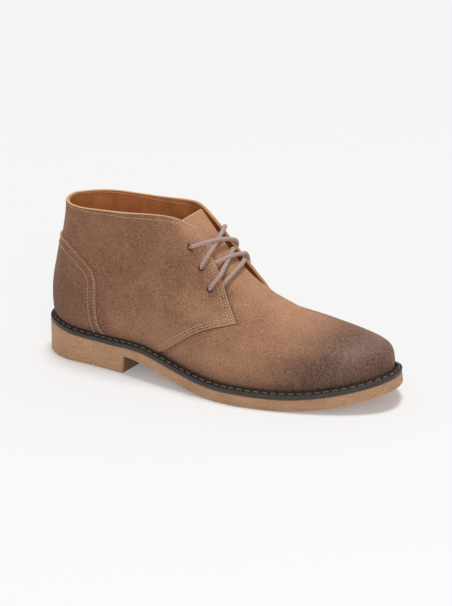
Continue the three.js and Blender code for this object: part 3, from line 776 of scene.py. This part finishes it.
def makeSole():
    # a ring of points for each step from heel to toe: down the outer wall, across the bottom with its
    # tread, up the inner wall and back across the top; rings close to a point at both ends
    breast, arch = turnAt(last["breastAt"]), turnAt(last["breastAt"] + last["breastLean"])
    turns = np.linspace(0, 180, sole["columns"])
    turns = turns[(turns < breast - .35) | (turns > arch + .35)]
    notchEnds = np.add.outer(notches["ats"], np.array([-.5, .5]) * notches["wide"]).ravel()
    turns = np.sort(np.concatenate([turns, [breast - .3, breast, arch, arch + .3], turnAt(notchEnds)]))
    outer, inner = (soleWall(side, turns, turns <= breast + 1e-6) for side in (-1, 1))
    floor = lerp(outer[-1], inner[-1], np.linspace(0, 1, sole["across"])[1:-1, None, None])
    at, y = floor[..., 0] + last["originAt"], floor[..., 1]
    floor[..., 2] += tread(at, y, np.minimum(np.abs(y - outer[-1][:, 1]), np.abs(inner[-1][:, 1] - y)))
    top = lerp(inner[0], outer[0], np.linspace(0, 1, 8)[1:-1, None, None])
    points = np.concatenate([outer, floor, inner[::-1], top, outer[:1]])
    # painted shade on the breast of the heel and the arch in front of it, and a little darker along the walls
    # of the forepart
    at = points[..., 0] + last["originAt"]
    ahead = at - last["breastAt"]
    row = np.arange(len(points))[:, None]
    under = (row >= len(outer)) & (row < len(outer) + len(floor))
    soleShade = np.where(
        under, sole["archShade"] * ease((ahead + 1) / 1.5) * ease((34 - ahead) / 30),
        sole["forepartDark"] * ease((at - 110) / 60) * ease((288 - at) / 24))
    piece = addPiece(
        "gum_sole", points, gridFaces(*points.shape[:2]), gumMaterial, ("outsole",),
        {"soleShade": soleShade}, sharp=38)
    cutNotches(piece)


def cutNotches(piece):
    # a block across the bottom edge at each notch, on both sides, reaching 1 mm outside the wall
    work = bmesh.new()
    for at in notches["ats"]:
        for side in (-1, 1):
            rim = float(lastPoint(side * turnAt(at), 0, last["weltMargin"])[1])
            place = Vector((at - last["originAt"], rim + side * (1 - notches["run"] / 2), 0)) * .001
            block = bmesh.ops.create_cube(work, size=.001)["verts"]
            bmesh.ops.scale(work, vec=(notches["wide"], notches["run"], notches["deep"] * 2), verts=block)
            bmesh.ops.translate(work, vec=place, verts=block)
    cutter = bpy.data.meshes.new("notchCutter")
    work.to_mesh(cutter)
    work.free()
    cutAway(cutter, [piece])


makeSole()
print("welt and sole made")

# stitching: rows at distances from an edge in mm, and bars across the front rows at a share of the height
thread = dict(pitch=2.6, length=1.9, width=.84, arch=.38)
seams = dict(
    front=(2.3, 4.5), collar=2.3, counter=(1.2, 7.4), bars=((.48, 9), (.51, 7), (.62, 6)), barPitch=1.9,
    levelHigh=138, turnWide=1.15)  # mm in one level at the collar, and in one degree of turn at the corner
weltStitch = dict(pitch=6.9, length=6.1, width=1.35, arch=.55, margin=4.25, sunk=.05)


def laid(path, normals, pitch):
    # even steps along a path by its length
    far = lengthsAlong(path)
    count = max(2, int(round(far[-1] / pitch)))
    here = (np.arange(count) + .5) * far[-1] / count
    ahead = pickedAt(here + .6, far, path) - pickedAt(here - .6, far, path)
    return pickedAt(here, far, path), unit(ahead), unit(pickedAt(here, far, normals))


def addStitches(name, runs, size, material):
    # every stitch is a short bead, thick in the middle and arched, with its ends sunk in the leather
    t = np.array([-1, -.8, -.35, .35, .8, 1])
    angle = np.arange(6) * pi / 3
    ring = np.sqrt(np.clip(1 - t ** 4, 0, 1)) * size["width"] / 2
    high = size["arch"] * (1 - t ** 2) - size["arch"] * .35
    spots, ahead, up = (np.concatenate([run[i] for run in runs]) for i in range(3))
    side = unit(np.cross(up, ahead))
    up = np.cross(ahead, side)
    body = (spots[:, None, None] + ahead[:, None, None] * (t * size["length"] / 2)[None, :, None, None]
            + up[:, None, None] * (high[:, None] + ring[:, None] * np.cos(angle))[None, :, :, None]
            + side[:, None, None] * (ring[:, None] * np.sin(angle))[None, :, :, None])
    one = gridFaces(len(t), 7)  # one bead's faces, with its seventh column joined to the first
    one = (one // 7) * 6 + (one % 7) % 6
    faces = (one[None] + (np.arange(len(spots)) * len(t) * 6)[:, None, None]).reshape(-1, 4)
    addPiece(name, body, faces, material)


def seamRun(turn, v, off, pitch=thread["pitch"]):
    path, above = worn(turn, v, off), worn(turn, v, off + 1)
    return laid(path, above - path, pitch)


def upperSeams():
    out = quarter["out"]
    runs = []
    for side in (-1, 1):
        q = np.linspace(.03, cornerQ, 60)
        lines = (side * edgeAt(q), q * topV), quarterAt(side, np.linspace(cornerQ, .985, 60))
        for inset in seams["front"]:
            for turn, v in lines:
                turn, v = beside(turn, v, -side * inset)
                runs.append(seamRun(turn, v, out + proud(turn, v)))
        for q, reach in seams["bars"]:
            inset = np.linspace(1.6, reach, 12)
            turn, v = side * (edgeAt(q) - inset / seams["turnWide"]), q * topV - inset * .0008
            runs.append(seamRun(turn, v, out + .1 + proud(turn, v), seams["barPitch"]))
    p = np.linspace(-.93, .93, 160)
    turn, v = quarterAt(p, np.ones_like(p))
    v = v - seams["collar"] / seams["levelHigh"]
    runs.append(seamRun(turn, v, out + proud(turn, v)))
    spots, ahead, up = seamRun(turn, v, proud(turn, v) - 1.0)  # and the same row on the lining
    runs.append((spots, ahead, -up))
    return runs


def counterSeams():
    # up one front edge, over the top and down the other
    v = np.linspace(.03, counterRows[-1, 0], 60)
    edge = along(counterRows, 1, v)
    p = np.linspace(1, -1, 61)[1:-1]
    turn = np.concatenate([edge, p * counterRows[-1, 1], -edge[::-1]])
    v = np.concatenate([v, lerp(counter["top"], counterRows[-1, 0], p ** 2), v[::-1]])
    out = quarter["out"] + counter["gap"] + counter["thick"] - .03
    runs = []
    for inset in seams["counter"]:
        a, b = beside(turn, v, -inset)
        runs.append(seamRun(a[b > .015], b[b > .015], out))
    return runs


def weltSeam():
    turn = np.linspace(-180, 180, 1200)
    path = lastPoint(turn, 0, weltStitch["margin"])
    path[:, 2] = featherZ(path[:, 0] + last["originAt"]) - weltStitch["sunk"]
    return [laid(path, np.tile([0., 0, 1], (len(turn), 1)), weltStitch["pitch"])]


addStitches("upper_stitching", upperSeams(), thread, seamThread)
addStitches("counter_stitching", counterSeams(), thread, seamThread)
addStitches("welt_stitching", weltSeam(), weltStitch, weltThread)
print("stitching made")

# lace: one cord, in at the top eyelets, with its ends hidden behind the facings
lace = dict(radius=1.72, step=.3, sides=20, plait=.11)


def byEdge(side, q, past, height):  # a point beside a facing's edge: degrees past it, and a height
    turn, v = quarterAt(float(side), q)
    turn = turn + side * past
    return worn(turn, v, height + (proud(turn, v) if past < 3 else 0))


def laceRoute():
    over = quarter["out"] + lace["radius"] + .05
    onTongue = -1.5 + lace["radius"] + .15
    under = -1.0 - lace["radius"] - .2
    upward = unit(worn(180, .86, 1) - worn(180, .86, 0))

    def spot(side, eyelet, height):
        turn, v = side * eyelet[0], eyelet[1]
        return worn(turn, v, height + proud(turn, v))

    def leaving(side, eyelet, towards):  # up through a hole, then bent over towards the next point
        rim = spot(side, eyelet, over - .3)
        return [spot(side, eyelet, -2.6), spot(side, eyelet, -.1), rim + 2.1 * unit(towards - rim)]

    def span(a, b, arch):  # the free run between the facings, a line with a low arch
        f = np.array([.25, .5, .75])[:, None]
        return list(a + (b - a) * f + upward * arch * 4 * f * (1 - f))

    def crossing(fromHole, q1, q2, toHole, arch):
        a, b = byEdge(-1, q1, -.5, over), byEdge(1, q2, -.5, over)
        return leaving(-1, fromHole, a) + [a] + span(a, b, arch) + [b] + leaving(1, toHole, b)[::-1]

    top, mid, low = eyelets
    gapTop, gapLow = worn(168, .888, -.9), worn(169, .857, .5)  # over the tongue's inner edge
    # out at the outer top and in at the inner middle
    points = [worn(-128, .885, under)] + crossing(top, .957, .925, mid, 3.8)
    # up beside the tongue and in at the outer low
    a = byEdge(-1, .85, -.5, over)
    points += [byEdge(1, .9, -4, under), gapTop] + span(gapTop, a, .9) + [a] + leaving(-1, low, a)[::-1]
    # straight over the tongue
    a = byEdge(-1, .83, 2.5, onTongue - 1)
    points += [byEdge(-1, .8, -2, under), a] + span(a, gapLow, 3.2) + [gapLow, byEdge(1, .85, -3, under)]
    # out at the inner low and under the outer facing
    a, b = byEdge(1, .873, -.5, over), byEdge(-1, .905, 3, onTongue - .6)
    points += leaving(1, low, a) + [a] + span(a, b, 4.4) + [b, byEdge(-1, .9, -3, under)]
    # out at the outer middle and in at the inner top
    points += crossing(mid, .93, .969, top, 1.6) + [worn(128, .885, under)]
    return np.array(points)


def laceRims():  # where the cord comes through the leather
    return [worn(side * turn, v, .4 + proud(side * turn, v)) for side in (-1, 1) for turn, v in eyelets]


def smoothPath(points, step):
    # a centripetal spline through the points, then even steps by length, smoothed a little
    gaps = np.sqrt(np.linalg.norm(np.diff(points, axis=0), axis=1))
    knots = np.concatenate([[0], np.cumsum(gaps)])
    table = np.column_stack([knots, points])
    fine = np.linspace(0, knots[-1], 4000)
    path = np.stack([along(table, i, fine) for i in (1, 2, 3)], -1)
    far = lengthsAlong(path)
    here = np.linspace(0, far[-1], int(far[-1] / step))
    path = pickedAt(here, far, path)
    for _ in range(5):
        path[1:-1] = (path[:-2] + 2 * path[1:-1] + path[2:]) / 4
    return path, here


def makeLace():
    # a round tube along the route; two sets of plaited strands lift its surface where they cross over
    path, here = smoothPath(laceRoute(), lace["step"])
    way = unit(np.gradient(path, axis=0))
    side = unit(np.cross(way, (.74, 0, -.67)))
    up = np.cross(side, way)
    a = np.linspace(0, 2 * pi, lace["sides"] + 1)[None, :]
    forward, around = 2 * pi * here[:, None] / braid["pitch"], braid["strands"] / 2 * a
    plait = .72 * np.sin(forward + around) + .28 * np.sin(forward - around)
    # round at both ends, and squeezed by the holes
    ends = np.sqrt(1 - (1 - np.clip(np.minimum(here, here[-1] - here) / lace["radius"], 0, 1)) ** 2)
    squeeze = 1 - .3 * sum(np.exp(-((path - rim) ** 2).sum(-1) / 5) for rim in laceRims())
    radius = lace["radius"] * (ends * squeeze)[:, None] * (1 + lace["plait"] * plait)
    ring = np.cos(a)[..., None] * side[:, None] + np.sin(a)[..., None] * up[:, None]
    points = path[:, None] + radius[..., None] * ring
    # the mark for the painted highlight on the strands' crowns and the painted shade between them
    addPiece(
        "lace", points, gridFaces(*points.shape[:2]), laceMaterial,
        ("lace_upper_cross", "lace_lower_cross", "lace_bar"), {"plaitLight": .5 + .5 * plait})
    print("lace made, %.0f mm" % here[-1])


makeLace()


# floor
paper = dict(half=9, colour="#d6d6d6", glow=.2)


def makeFloor():
    half = paper["half"]
    mesh = bpy.data.meshes.new("floor")
    mesh.from_pydata(
        [(-half, -half, 0), (half, -half, 0), (half, half, 0), (-half, half, 0)], [], [(0, 1, 2, 3)])
    floor = bpy.data.objects.new("floor", mesh)
    # white paper over a light table: lit from above, and glowing a little from below
    material, _, _ = newMaterial("paperSweep", {
        "Roughness": .9, "Specular IOR Level": .1, "Base Color": linear(paper["colour"]),
        "Emission Color": linear("#ffffff"), "Emission Strength": paper["glow"]})
    mesh.materials.append(material)
    bpy.context.scene.collection.objects.link(floor)


makeFloor()
print("floor made")
